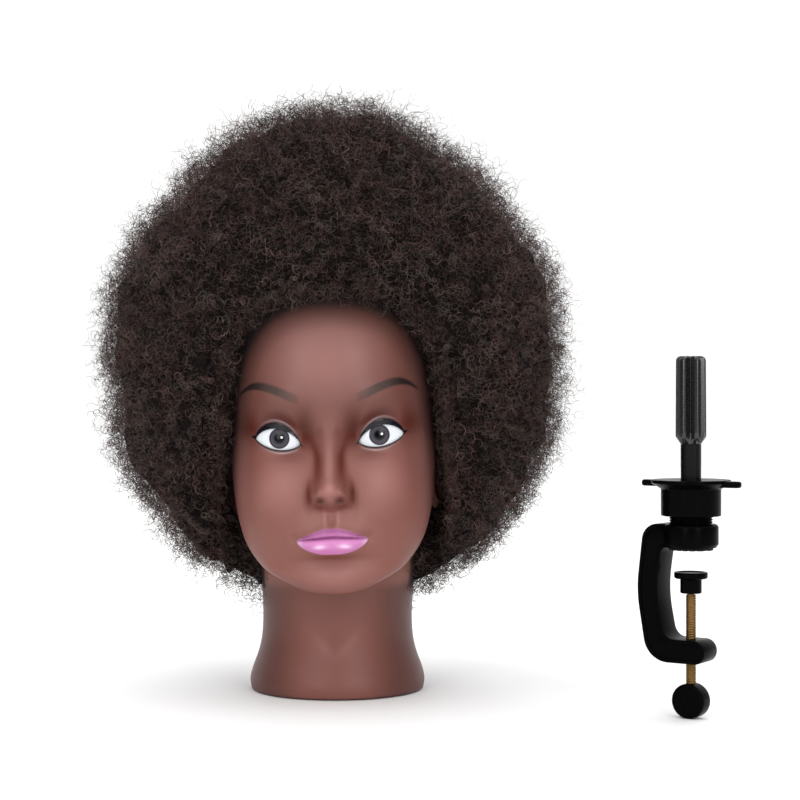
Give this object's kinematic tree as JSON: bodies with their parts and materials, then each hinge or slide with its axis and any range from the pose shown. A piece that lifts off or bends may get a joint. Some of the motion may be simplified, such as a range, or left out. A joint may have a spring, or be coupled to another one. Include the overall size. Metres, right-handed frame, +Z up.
{
  "type": "mannequin training head",
  "caption": "Soft training head on an open neck socket, with an afro of hair and a separate table clamp with a swivelling fluted post.",
  "frame": {"origin": "middle of the common box of head and clamp, on the floor that both stand on", "axes": "+Z up, the face looks along -Y, +X runs from the head to the clamp"},
  "size_m": [0.4048, 0.3002, 0.393],
  "materials": {
    "skin": "satin",
    "foam": "matte",
    "insert": "matte",
    "eye": "gloss",
    "hair": "matte",
    "black_plastic": "satin",
    "rubber": "matte",
    "screw_metal": "satin",
    "steel": "satin",
    "washer": "matte"
  },
  "bodies": {
    "head": {"head_shell": "skin", "foam_core": "foam", "neck_base_plate": "insert", "socket_tube": "insert", "left_eye": "eye", "right_eye": "eye", "afro_hair": "hair"},
    "pad": {"pressure_pad": "black_plastic"},
    "screw": {"clamp_screw": "screw_metal", "thumb_knob": "black_plastic"},
    "frame": {"clamp_frame": "black_plastic", "screw_nut": "steel", "jaw_pad": "rubber", "retaining_washer": "steel", "lower_friction_washer": "washer"},
    "washer": {"upper_friction_washer": "washer"},
    "ring": {"lock_ring": "black_plastic"},
    "post": {"swivel_post": "black_plastic", "fluted_plug": "black_plastic", "retaining_screw": "steel"}
  },
  "joints": [
    {"name": "clamp_pick_up", "type": "slide", "parent": "head", "child": "pad", "axis": [0, 0, 1], "range_m": [0, 0.1]},
    {"name": "frame_travel", "type": "slide", "parent": "pad", "child": "frame", "axis": [0, 0, 1], "range_m": [-0.012, 0.021]},
    {"name": "screw_turn", "type": "hinge", "parent": "pad", "child": "screw", "pos_m": [0.1746, -0.1259, 0.1], "axis": [0, 0, 1], "range_deg": [-5040, 2880]},
    {"name": "washer_lift", "type": "slide", "parent": "frame", "child": "washer", "axis": [0, 0, 1], "range_m": [0, 0.00075]},
    {"name": "lock_ring_turn", "type": "hinge", "parent": "washer", "child": "ring", "pos_m": [0.1746, -0.1259, 0.1], "axis": [0, 0, 1], "range_deg": [0, 180]},
    {"name": "post_swivel", "type": "hinge", "parent": "frame", "child": "post", "pos_m": [0.1746, -0.1259, 0.1], "axis": [0, 0, 1], "continuous": true}
  ],
  "couplings": [
    {"joint": "screw_turn", "follows": "frame_travel", "rad_per_m": -4188.8},
    {"joint": "lock_ring_turn", "follows": "washer_lift", "rad_per_m": 4188.8}
  ]
}
